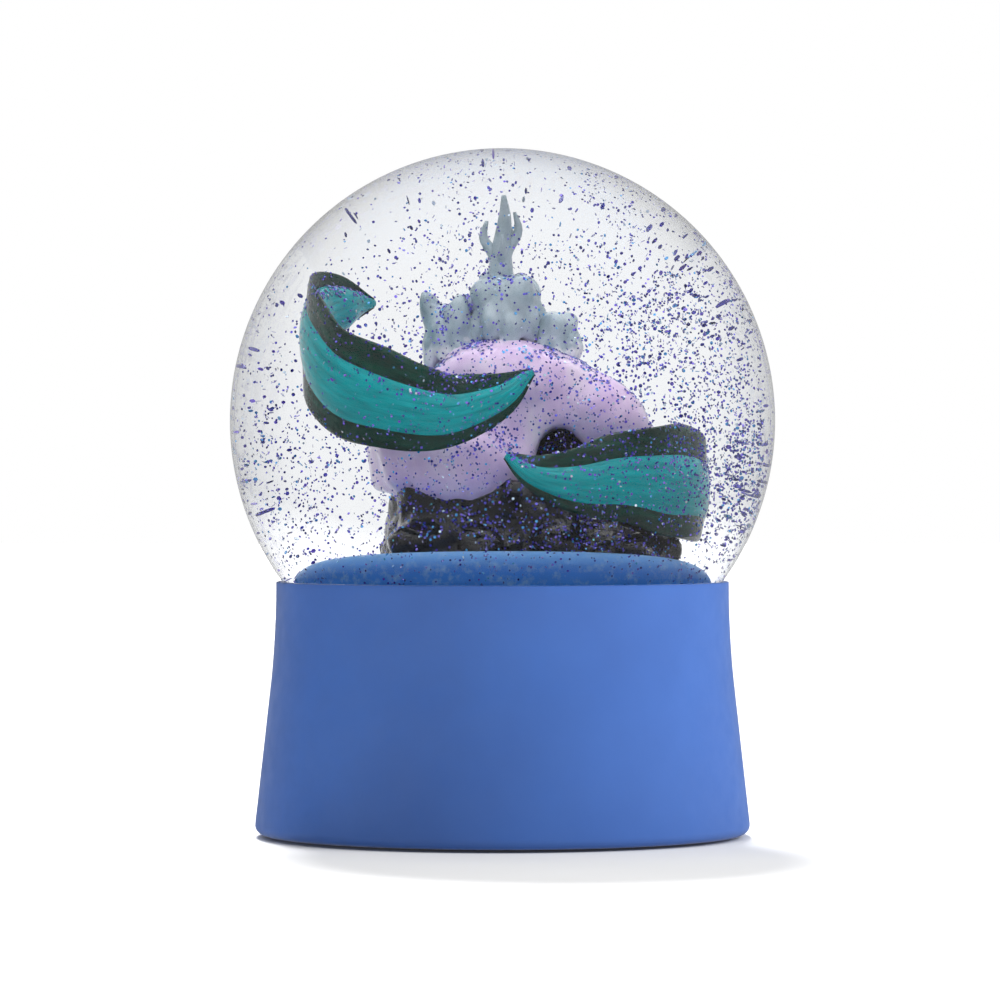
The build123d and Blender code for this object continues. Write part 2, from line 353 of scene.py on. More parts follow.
class Nodes:
    """A node tree in the making, with short calls for what the finishes and the room share."""

    def __init__(self, tree: bpy.types.NodeTree) -> None:
        self.tree = tree

    def add(self, kind: str, **settings: object) -> bpy.types.Node:
        """Adds a node and sets its properties."""
        node = self.tree.nodes.new(kind)
        for name, value in settings.items():
            setattr(node, name, value)
        return node

    def join(self, source: Socket, target: Socket) -> None:
        """Links one socket to another."""
        self.tree.links.new(source, target)

    def spread(self, value: Socket, low: float, high: float, new_low: float = 0.0,
               new_high: float = 1.0) -> Socket:
        """A value moved from one range to another, held at its ends."""
        node = self.add("ShaderNodeMapRange", clamp=True)
        for name, number in zip(("From Min", "From Max", "To Min", "To Max"), (low, high, new_low, new_high)):
            node.inputs[name].default_value = number
        self.join(value, node.inputs["Value"])
        return node.outputs["Result"]

    def mix(self, share: Socket, first: Socket | Colour | float, second: Socket | Colour | float,
            kind: str = "RGBA") -> Socket:
        """The first colour or FLOAT value where share is 0 and the second where it is 1."""
        node = self.add("ShaderNodeMix", data_type=kind)
        first_index, result_index = {"RGBA": (6, 2), "FLOAT": (2, 0)}[kind]
        self.join(share, node.inputs["Factor"])
        for index, value in enumerate((first, second), first_index):
            if isinstance(value, (tuple, float)):
                node.inputs[index].default_value = value
            else:
                self.join(value, node.inputs[index])
        return node.outputs[result_index]

    def compute(self, operation: str, first: Socket, second: Socket | None = None) -> Socket:
        """One or two values put through that operation; a difference stops at 0."""
        node = self.add("ShaderNodeMath", operation=operation, use_clamp=operation == "SUBTRACT")
        self.join(first, node.inputs[0])
        if second is not None:
            self.join(second, node.inputs[1])
        return node.outputs[0]


class Shader(Nodes):
    """A material in the making."""

    def __init__(self, name: str) -> None:
        self.material = bpy.data.materials.new(name)
        self.material.use_nodes = True
        super().__init__(self.material.node_tree)
        self.surface = self.tree.nodes["Principled BSDF"]
        self.place = self.add("ShaderNodeTexCoord").outputs["Object"]

    def set(self, **values: object) -> None:
        """Sets the surface shader's own sockets; an underscore stands for a space."""
        for name, value in values.items():
            self.surface.inputs[name.replace("_", " ")].default_value = value

    def stretched(self, scale: tuple[float, float, float]) -> Socket:
        """Object coordinates scaled along each axis."""
        mapping = self.add("ShaderNodeMapping")
        mapping.inputs["Scale"].default_value = scale
        self.join(self.place, mapping.inputs["Vector"])
        return mapping.outputs["Vector"]

    def noise(self, size: float, detail: float = 3.0, rough: float = 0.55,
              place: Socket | None = None) -> Socket:
        """A soft noise whose blotches are about that size in mm."""
        node = self.add("ShaderNodeTexNoise")
        for name, number in (("Scale", 1 / (size * MM)), ("Detail", detail), ("Roughness", rough)):
            node.inputs[name].default_value = number
        self.join(place or self.place, node.inputs["Vector"])
        return node.outputs["Fac"]

    def cells(self, size: float, output: str = "Distance") -> Socket:
        """Voronoi cells of about that size in mm."""
        node = self.add("ShaderNodeTexVoronoi")
        node.inputs["Scale"].default_value = 1 / (size * MM)
        self.join(self.place, node.inputs["Vector"])
        return node.outputs[output]

    def height(self) -> Socket:
        """The height above the floor, in metres."""
        split = self.add("ShaderNodeSeparateXYZ")
        self.join(self.place, split.inputs["Vector"])
        return split.outputs["Z"]

    def attribute(self, name: str) -> Socket:
        """A named number that the mesh carries."""
        return self.add("ShaderNodeAttribute", attribute_name=name).outputs["Fac"]

    def ramp(self, value: Socket, stops: Sequence[tuple[float, Colour]],
             interpolation: str = "LINEAR") -> Socket:
        """The colours at those stops, read by a value."""
        node = self.add("ShaderNodeValToRGB")
        node.color_ramp.interpolation = interpolation
        elements = node.color_ramp.elements
        while len(elements) < len(stops):
            elements.new(1.0)
        for element, (position, colour) in zip(elements, stops):
            element.position = position
            element.color = colour
        self.join(value, node.inputs["Fac"])
        return node.outputs["Color"]

    def colour(self, socket: Socket) -> None:
        """Gives the surface its colour."""
        self.join(socket, self.surface.inputs["Base Color"])

    def roughness(self, value: Socket, low: float, high: float) -> None:
        """Lets the surface's roughness follow a value from 0 to 1."""
        self.join(self.spread(value, 0.3, 0.7, low, high), self.surface.inputs["Roughness"])

    def bump(self, *layers: tuple[Socket, float, float]) -> None:
        """Adds relief; each layer is a height, its strength and its depth in mm."""
        normal = None
        for height, strength, depth in layers:
            node = self.add("ShaderNodeBump")
            node.inputs["Strength"].default_value = strength
            node.inputs["Distance"].default_value = depth * MM
            self.join(height, node.inputs["Height"])
            if normal:
                self.join(normal, node.inputs["Normal"])
            normal = node.outputs["Normal"]
        self.join(normal, self.surface.inputs["Normal"])


@dataclass(frozen=True)
class SatinPaint:
    """Sprayed satin paint on cast resin: faint clouds, a fine orange peel and a few dust nibs."""

    name: str
    deep: Colour
    light: Colour
    rough_low: float = 0.38
    rough_high: float = 0.5
    cloud: float = 14.0
    peel: float = 0.5

    def material(self) -> Material:
        """Builds the paint."""
        shader = Shader(self.name)
        clouds = shader.noise(self.cloud, 4)
        shader.colour(shader.ramp(clouds, [(0.3, self.deep), (0.7, self.light)]))
        shader.roughness(shader.noise(3.0), self.rough_low, self.rough_high)
        nibs = shader.spread(shader.cells(2.6), 0.0, 0.07, 1.0, 0.0)
        shader.bump((shader.noise(self.peel, 2), 0.12, 0.05), (nibs, 0.15, 0.02))
        shader.set(Specular_IOR_Level=0.7)
        return shader.material


@dataclass(frozen=True)
class PlinthPaint:
    """Sky-blue enamel, paler on the plinth's top and rounded top edge as painted light from above, and darker
    on its side as painted shade.
    """

    # side is the darker colour with painted shade, top the paler colour with painted light.
    side: Colour
    top: Colour
    top_z: float

    def material(self) -> Material:
        """Builds the enamel."""
        shader = Shader("plinth enamel")
        # Painted light: the top and its rounded edge take the paler colour, and the side keeps the darker
        # colour as painted shade.
        level = shader.spread(shader.height(), (self.top_z - 2.2) * MM, (self.top_z - 0.2) * MM)
        colour = shader.mix(level, self.side, self.top)
        dust = shader.spread(shader.noise(1.2, 6, 0.7), 0.5, 0.72)
        shader.colour(shader.mix(dust, colour, tint(146, 194, 252)))
        shader.roughness(shader.noise(2.0), 0.3, 0.5)
        shader.bump((shader.noise(0.9, 4), 0.2, 0.08))
        shader.set(Specular_IOR_Level=0.1)
        return shader.material


@dataclass(frozen=True)
class ClearMedium:
    """Glass or water: light passes through it and bends."""

    name: str
    tint: Colour
    index: float
    mirror_tint: Colour

    def material(self) -> Material:
        """Builds the clear medium."""
        shader = Shader(self.name)
        shader.set(Base_Color=self.tint, Roughness=0.0, IOR=self.index, Transmission_Weight=1.0,
                   Specular_Tint=self.mirror_tint)
        return shader.material


@dataclass(frozen=True)
class RockLacquer:
    """Black gloss over coarse rock, with flakes of foil caught in the lacquer."""

    black: Colour
    sheen: Colour

    def material(self) -> Material:
        """Builds the lacquer."""
        shader = Shader("rock lacquer")
        colour = shader.ramp(shader.noise(2.5, 5), [(0.4, self.black), (0.75, self.sheen)])
        speck = shader.spread(shader.cells(0.75), 0.1, 0.16, 1.0, 0.0)
        hue = shader.cells(0.75, "Color")
        foil = shader.ramp(hue, [(0.0, tint(20, 30, 120)), (0.45, tint(60, 50, 170)),
                                 (0.62, tint(40, 140, 210)), (0.8, tint(120, 225, 240))], "CONSTANT")
        shader.colour(shader.mix(speck, colour, foil))
        shader.join(speck, shader.surface.inputs["Metallic"])
        shader.roughness(shader.noise(1.5), 0.12, 0.3)
        shader.bump((shader.noise(1.6, 5, 0.6), 0.5, 0.3), (shader.cells(0.9), 0.15, 0.1))
        shader.set(Coat_Weight=0.3, Coat_Roughness=0.08, Specular_IOR_Level=0.1)
        return shader.material


@dataclass(frozen=True)
class SoftPaint:
    """Brushed-on matt colour that follows its brushed relief, with painted shade in its hollows and a painted
    highlight on its heights.
    """

    name: str
    # The hollow colour is painted shade, the middle colour the paint's own lilac, and the crest colour a
    # painted highlight.
    hollow: Colour
    middle: Colour
    lit_crest: Colour
    grain: float = 3.0
    coat: float = 0.35

    def material(self) -> Material:
        """Builds the paint."""
        shader = Shader(self.name)
        brushed_relief_and_painted_shading = shader.noise(self.grain, 5, 0.6, shader.stretched((1, 1, 0.45)))
        # The colour follows the relief noise: painted shade where the relief is low, and a painted highlight
        # where it is high.
        shader.colour(shader.ramp(brushed_relief_and_painted_shading, [(0.28, self.hollow), (0.5, self.middle), (0.72, self.lit_crest)]))
        shader.roughness(shader.noise(1.4), 0.25, 0.45)
        shader.bump((brushed_relief_and_painted_shading, 0.25, 0.15), (shader.noise(0.4, 2), 0.1, 0.04))
        shader.set(Coat_Weight=self.coat, Coat_Roughness=0.15, Specular_IOR_Level=0.3, Subsurface_Weight=0.1,
                   Subsurface_Radius=(1.2 * MM, 0.9 * MM, 1.2 * MM), Subsurface_Scale=1.0)
        return shader.material


@dataclass(frozen=True)
class CoralPaint:
    """Grey-blue coral whose lower rim is dripped with white."""

    low: Colour
    high: Colour
    drip: Colour
    drip_z: float
    rim_waver: float = 0.7
    rim_fade: float = 0.4

    def material(self) -> Material:
        """Builds the paint."""
        shader = Shader("coral paint")
        colour = shader.ramp(shader.noise(2.2, 4), [(0.3, self.low), (0.7, self.high)])
        waver, fade = self.rim_waver * MM, self.rim_fade * MM
        edge = shader.spread(shader.noise(1.2, 2), 0.3, 0.7, -waver, waver)
        rim = shader.compute("ADD", shader.height(), edge)
        white = shader.spread(rim, self.drip_z * MM - fade, self.drip_z * MM + fade, 1.0, 0.0)
        shader.colour(shader.mix(white, colour, self.drip))
        shader.roughness(shader.noise(1.0), 0.25, 0.45)
        shader.bump((shader.noise(0.8, 3), 0.2, 0.1))
        shader.set(Coat_Weight=0.3, Coat_Roughness=0.2)
        return shader.material


@dataclass(frozen=True)
class LeafLacquer:
    """Wet-looking lacquer, with streaks that run along the blade."""

    name: str
    deep: Colour
    middle: Colour
    bright: Colour
    rough_low: float
    rough_high: float

    def material(self) -> Material:
        """Builds the lacquer."""
        shader = Shader(self.name)
        pair = shader.add("ShaderNodeCombineXYZ")
        for name, axis in (("across", "X"), ("along", "Y")):
            shader.join(shader.attribute(name), pair.inputs[axis])
        streaks = shader.add("ShaderNodeTexNoise")
        streaks.inputs["Scale"].default_value = 6.0
        streaks.inputs["Detail"].default_value = 4.0
        shader.join(pair.outputs["Vector"], streaks.inputs["Vector"])
        shader.colour(shader.ramp(streaks.outputs["Fac"],
                                  [(0.3, self.deep), (0.52, self.middle), (0.75, self.bright)]))
        shader.roughness(shader.noise(1.8), self.rough_low, self.rough_high)
        shader.bump((streaks.outputs["Fac"], 0.35, 0.25), (shader.noise(0.7, 2), 0.08, 0.05))
        shader.set(Coat_Weight=0.3, Coat_Roughness=0.06, Specular_IOR_Level=0.05)
        return shader.material


@dataclass(frozen=True)
class GlitterFoil:
    """Cut metallic film in mixed blues and violets; each flake carries its own shade."""

    shades: tuple[tuple[float, Colour], ...]

    def material(self) -> Material:
        """Builds the foil."""
        shader = Shader("glitter foil")
        shader.colour(shader.ramp(shader.attribute("shade"), self.shades, "CONSTANT"))
        shader.roughness(shader.noise(0.5), 0.18, 0.32)
        shader.set(Metallic=0.25, Coat_Weight=0.6, Coat_Roughness=0.1)
        return shader.material


@dataclass(frozen=True)
class PlainStock:
    """A hidden or seldom-seen stock material: mottled, with a grain of its own."""

    name: str
    dark: Colour
    light: Colour
    grain: float
    relief: float
    rough_low: float
    rough_high: float
    metallic: float = 0.0

    def material(self) -> Material:
        """Builds the stock."""
        shader = Shader(self.name)
        shader.colour(shader.ramp(shader.noise(self.grain * 4, 4), [(0.3, self.dark), (0.7, self.light)]))
        shader.roughness(shader.noise(self.grain * 2), self.rough_low, self.rough_high)
        shader.bump((shader.cells(self.grain), 0.4, self.relief),
                    (shader.noise(self.grain, 3), 0.3, self.relief))
        shader.set(Metallic=self.metallic)
        return shader.material


# ---- base and glass ----


@dataclass
class Base:
    """The flared resin base, as one closed skin with its seat, bore and hollow underside."""

    layout: Layout
    collar_radius: float = 27.0
    collar_height: float = 6.6
    blend_length: float = 5.3
    foot_round: float = 1.3
    rim_round: float = 0.2
    seat_gap: float = 0.1
    groove_top: float = 1.0
    groove_height: float = 2.0
    groove_depth: float = 0.6
    bore_radius: float = 23.1
    shelf_top_z: float = 15.02
    shelf_bottom_z: float = 12.02
    shelf_hole: float = 13.0
    hollow_top: float = 24.0
    hollow_bottom: float = 24.55
    rebate_radius: float = 26.15
    rebate_top_z: float = 2.6
    rebate_round: float = 0.2
    hollow_round: float = 0.8
    blend_steps: int = 16
    foot_steps: int = 8
    segments: int = 192

    def seat_place(self, height: float) -> tuple[float, float]:
        """The point of the spherical seat at that height."""
        seat = self.layout.globe_radius + self.seat_gap
        return sqrt(seat**2 - (self.layout.centre_z - height) ** 2), height

    def build(self) -> Mesh:
        """Turns the base's section."""
        layout = self.layout
        seat = layout.globe_radius + self.seat_gap
        top = layout.base_top_z
        groove_top_z = top - self.groove_top
        groove_bottom_z = groove_top_z - self.groove_height
        groove_radius = sqrt(layout.globe_radius**2 - (layout.centre_z - groove_top_z) ** 2)
        groove_radius += self.groove_depth
        pen = Lathe(*self.seat_place(top))
        for stop in (
                (self.collar_radius, top, self.rim_round, 4),
                (self.collar_radius, top - self.collar_height, self.blend_length, self.blend_steps),
                (layout.foot_radius, layout.base_bottom_z, self.foot_round, self.foot_steps),
                (self.rebate_radius, layout.base_bottom_z, self.rebate_round, 3),
                (self.rebate_radius, self.rebate_top_z),
                (self.hollow_bottom, self.rebate_top_z),
                (self.hollow_top, self.shelf_bottom_z, self.hollow_round, 4),
                (self.shelf_hole, self.shelf_bottom_z),
                (self.shelf_hole, self.shelf_top_z),
                (self.bore_radius, self.shelf_top_z),
                (self.bore_radius, layout.centre_z - sqrt(seat**2 - self.bore_radius**2)),
                self.seat_place(groove_bottom_z),
                (groove_radius, groove_bottom_z),
                (groove_radius, groove_top_z),
                self.seat_place(groove_top_z)):
            pen.line(*stop)
        pen.close()
        return pen.turn(self.segments)

    def dress(self) -> Piece:
        """Builds and paints the base."""
        paint = SatinPaint("periwinkle paint", tint(53, 96, 172), tint(57, 102, 180))
        return make_piece("resin_base", self.build(), [paint.material()],
                          stands_for=["base_shell"], sharp_from=40)


@dataclass
class Globe:
    """The blown glass ball with its neck and lip, and the water that fills it."""

    layout: Layout
    wall: float = 1.5
    neck_radius: float = 21.8
    lip_radius: float = 22.7
    lip_thickness: float = 1.8
    lip_round: float = 0.6
    water_share: float = 0.6
    plug_gap: float = 0.05
    steps: int = 72
    segments: int = 144

    def glass(self) -> Mesh:
        """Turns the glass wall, outside and inside."""
        layout = self.layout
        inner = layout.globe_radius - self.wall
        bore = self.neck_radius - self.wall
        top_z = layout.centre_z + layout.globe_radius
        outer_turn = pi - asin(self.neck_radius / layout.globe_radius)
        inner_turn = pi - asin(bore / inner)
        pen = Lathe(0, top_z)
        pen.arc(layout.centre_z, outer_turn, self.steps)
        pen.line(self.neck_radius, layout.neck_bottom_z + self.lip_thickness)
        pen.line(self.lip_radius, layout.neck_bottom_z + self.lip_thickness, self.lip_round, 4)
        pen.line(self.lip_radius, layout.neck_bottom_z, self.lip_round, 4)
        pen.line(bore, layout.neck_bottom_z)
        pen.line(bore, layout.centre_z - sqrt(inner**2 - bore**2))
        pen.arc(layout.centre_z, -inner_turn, self.steps)
        return pen.turn(self.segments)

    def water(self) -> Mesh:
        """Turns the water, whose skin lies within the thickness of the glass."""
        layout = self.layout
        radius = layout.globe_radius - self.water_share * self.wall
        bore = self.neck_radius - self.water_share * self.wall
        pen = Lathe(0, layout.centre_z + radius)
        pen.arc(layout.centre_z, pi - asin(bore / radius), self.steps)
        pen.line(bore, layout.plug_top_z + self.plug_gap)
        pen.line(0, layout.plug_top_z + self.plug_gap)
        return pen.turn(self.segments)

    def dress(self) -> list[Piece]:
        """Builds the glass and the water."""
        glass = ClearMedium("clear glass", (0.985, 0.99, 0.995, 1), 1.5, (0.3, 0.3, 0.3, 1)).material()
        water = ClearMedium("clear water", (0.985, 0.992, 1.0, 1), 1.33, (0.0, 0.0, 0.0, 1)).material()
        return [
            make_piece("glass_ball", self.glass(), [glass], stands_for=["glass_globe"],
                       sharp_from=50),
            make_piece("water", self.water(), [water], stands_for=["liquid_still", "liquid_swirl"],
                       sharp_from=50),
        ]


# ---- scene ----


@dataclass
class Plinth:
    """The round plinth that the scene stands on, with its rounded top edge."""

    layout: Layout
    top_round: float = 2.0
    boss_radius: float = 8.0
    boss_length: float = 2.0
    boss_round: float = 0.3
    segments: int = 144

    def build(self) -> Mesh:
        """Turns the plinth."""
        layout = self.layout
        bottom = layout.plug_top_z
        pen = Lathe(0, bottom - self.boss_length)
        pen.line(self.boss_radius, bottom - self.boss_length, self.boss_round, 2)
        pen.line(self.boss_radius, bottom)
        pen.line(layout.plinth_radius, bottom)
        pen.line(layout.plinth_radius, layout.plinth_top_z, self.top_round, 10)
        pen.line(0, layout.plinth_top_z)
        return pen.turn(self.segments)

    def dress(self) -> Piece:
        """Builds and paints the plinth."""
        # The darker side colour is painted shade, and the paler top colour is painted light.
        paint = PlinthPaint(tint(76, 146, 250), tint(128, 190, 255), self.layout.plinth_top_z)
        return make_piece("round_plinth", self.build(), [paint.material()],
                          stands_for=["plinth"], sharp_from=40)


@dataclass
class Rock:
    """The black rock and its lower ledge."""

    layout: Layout
    voxel: float = 0.4
    rock_outline: tuple[tuple[float, float], ...] = (
        (-10.6, -5.5), (-5.0, -9.3), (2.0, -8.6), (7.5, -10.2), (9.0, 4.5), (3.5, 9.6), (-5.5, 9.0),
        (-11.0, 3.5))
    ledge_outline: tuple[tuple[float, float], ...] = (
        (4.0, -9.0), (10.5, -10.6), (15.6, -7.4), (16.6, 0.5), (13.4, 6.8), (4.0, 7.5))
    rock_height: float = 8.0
    ledge_height: float = 4.2
    top_share: float = 0.87
    sunk: float = 0.3

    def add_block(self, mesh: Mesh, outline: Sequence[tuple[float, float]], height: float) -> None:
        """Adds one block: its outline drawn up and narrowed towards its top."""
        points = [mesh.verts.new(self.layout.carved(x, y, -self.sunk)) for x, y in outline]
        bottom = mesh.faces.new(points)
        raised = bmesh.ops.extrude_face_region(mesh, geom=[bottom])["geom"]
        top = [item for item in raised if isinstance(item, Vert)]
        bmesh.ops.translate(mesh, vec=(0, 0, height + self.sunk), verts=top)
        bmesh.ops.scale(mesh, vec=(self.top_share, self.top_share, 1), verts=top)
        bmesh.ops.recalc_face_normals(mesh, faces=mesh.faces)

    def build(self) -> Mesh:
        """Joins the blocks and breaks up their faces."""
        mesh = bmesh.new()
        self.add_block(mesh, self.rock_outline, self.rock_height)
        self.add_block(mesh, self.ledge_outline, self.ledge_height)
        for x, y, z, size in ((-8.4, -5.2, 2.2, 2.6), (-2.4, -8.2, 1.6, 2.3), (5.2, -8.8, 1.8, 2.4),
                              (12.6, -8.2, 1.2, 2.2), (14.6, -2.0, 1.6, 2.2), (-7.6, 5.2, 2.4, 3.0),
                              (3.0, 8.4, 2.2, 2.6), (11.0, 5.4, 1.6, 2.4), (5.8, 2.2, 9.2, 4.4)):
            add_ball(mesh, self.layout.carved(x, y, z), (size, size, size * 0.9))
        skin = voxelled(mesh, self.voxel)
        roughened(skin, 3.2, 0.7)
        smoothed(skin, 1)
        return skin

    def dress(self) -> Piece:
        """Builds and lacquers the rock."""
        lacquer = RockLacquer(tint(6, 6, 14), tint(14, 15, 34))
        return make_piece("black_rock", self.build(), [lacquer.material()],
                          stands_for=["rock"])


@dataclass
class Boulder:
    """The smooth lilac boulder, which arches from the rock to the ledge."""

    layout: Layout
    voxel: float = 0.45
    half_depth: float = 5.6
    outline: tuple[tuple[float, float], ...] = (
        (-11.2, 7.6), (-11.8, 11.6), (-8.8, 16.8), (-3.6, 20.2), (1.6, 20.8), (6.6, 19.3), (10.6, 16.6),
        (13.5, 12.6), (13.9, 8.0), (13.0, 3.8), (9.0, 3.8), (9.2, 9.6), (7.4, 12.4), (5.2, 13.4), (3.4, 12.0),
        (2.4, 7.6))

    def build(self) -> Mesh:
        """Joins the arch and its swellings, and wears them smooth."""
        mesh = bmesh.new()
        points = [mesh.verts.new(self.layout.carved(x, -self.half_depth, z)) for x, z in self.outline]
        front = mesh.faces.new(points)
        drawn = bmesh.ops.extrude_face_region(mesh, geom=[front])["geom"]
        back = [item for item in drawn if isinstance(item, Vert)]
        bmesh.ops.translate(mesh, vec=(0, 2 * self.half_depth, 0), verts=back)
        bmesh.ops.recalc_face_normals(mesh, faces=mesh.faces)
        for x, y, z, radii, tilt in (
                (-4.2, -6.2, 9.6, (5.6, 3.8, 4.0), 0.15), (-8.0, -2.0, 11.0, (3.8, 6.0, 5.0), 0.0),
                (9.6, -3.4, 14.2, (5.2, 3.6, 3.4), 0.75), (1.0, -2.0, 17.6, (7.0, 5.2, 3.6), 0.1)):
            add_ball(mesh, self.layout.carved(x, y, z), radii, tilt)
        skin = voxelled(mesh, self.voxel)
        smoothed(skin, 14)
        roughened(skin, 7.0, 0.45)
        return skin

    def dress(self) -> Piece:
        """Builds and paints the boulder."""
        # The first lilac is painted shade for the hollows, and the near-white last one a painted highlight on
        # the crests.
        paint = SoftPaint("lilac paint", tint(222, 188, 238), tint(240, 212, 250), tint(252, 236, 254), 4.0)
        return make_piece("arched_boulder", self.build(), [paint.material()],
                          stands_for=["boulder"])


@dataclass
class Coral:
    """Soft coral on the boulder: three lobes with fingers and dripped rims, and a plume."""

    layout: Layout
    voxel: float = 0.22
    crown: tuple[float, float, float, float] = (0.3, 0.4, 23.8, 3.9)
    left: tuple[float, float, float, float] = (-4.4, 0.8, 21.6, 3.1)
    right: tuple[float, float, float, float] = (4.6, 0.6, 21.2, 2.8)
    drips: int = 9
    finger_reach: float = 0.46
    finger_width: float = 0.42
    finger_lean: float = 0.45
    drip_reach: float = 0.72
    drip_width: float = 0.24

    def lobe(self, x: float, y: float, z: float, radius: float, fingers: int, rise: float) -> Mesh:
        """Builds one lobe: a ball with upright fingers round its top and drips under its rim."""
        mesh = bmesh.new()

        def add_bud(turn: float, reach: float, lift: float, width: float, length: float, tilt: float) -> None:
            """Adds one egg on the ball's side; its lengths are shares of the ball's radius."""
            out = radius * reach
            place = self.layout.carved(x + out * cos(turn), y + out * sin(turn), z + radius * lift)
            add_ball(mesh, place, (radius * width, radius * width, radius * length), tilt)

        add_ball(mesh, self.layout.carved(x, y, z), (radius * 0.8, radius * 0.8, radius * 0.86))
        for finger in range(fingers):
            turn = 2 * pi * (finger + 0.35) / fingers
            add_bud(turn, self.finger_reach, 0.28, self.finger_width, rise + 0.12 * (finger % 2),
                    self.finger_lean * cos(turn))
        for drip in range(self.drips):
            turn = 2 * pi * drip / self.drips
            add_bud(turn, self.drip_reach, -(0.3 + 0.2 * (drip % 2)), self.drip_width, 0.5, 0.0)
        skin = voxelled(mesh, self.voxel)
        smoothed(skin, 6)
        roughened(skin, 2.4, 0.2)
        return skin

    def plume(self) -> Mesh:
        """Builds the plume: slender wisps that part as they rise."""
        mesh = bmesh.new()
        root = self.layout.carved(-0.2, 0.8, 26.2)
        for lean_x, lean_y, rise, width in (
                (0.4, 0.0, 8.2, 0.85), (1.6, 0.6, 6.4, 0.6), (-1.5, 0.4, 5.6, 0.6),
                (0.2, -1.2, 4.6, 0.5), (0.9, 1.4, 5.4, 0.5)):
            line = [root, root + Vector((lean_x * 0.3, lean_y * 0.4, rise * 0.4)),
                    root + Vector((lean_x, lean_y, rise * 0.72)),
                    root + Vector((lean_x * 0.8, lean_y * 1.1, rise))]
            add_tube(mesh, line, [width * 1.5, width, width * 0.7, width * 0.25], 14, 12)
        bmesh.ops.recalc_face_normals(mesh, faces=mesh.faces)
        return mesh

    def dress(self) -> list[Piece]:
        """Builds and paints the coral."""
        paint = CoralPaint(tint(148, 170, 182), tint(194, 208, 218), tint(246, 247, 250),
                           self.layout.plinth_top_z + 20.6).material()
        pieces = [
            make_piece(name, self.lobe(*size, fingers, rise), [paint], stands_for=[node])
            for name, node, size, fingers, rise in (
                ("coral_middle", "coral_crown", self.crown, 4, 0.5),
                ("coral_left_lobe", "coral_left", self.left, 3, 0.95),
                ("coral_right_lobe", "coral_right", self.right, 3, 0.6))]
        pieces.append(make_piece("coral_wisps", self.plume(), [paint],
                                 stands_for=["coral_plume"]))
        return pieces


@dataclass(frozen=True)
class Station:
    """One cross-section of a blade: its angle round the axis, radius, height and full width."""

    angle: float
    radius: float
    height: float
    width: float


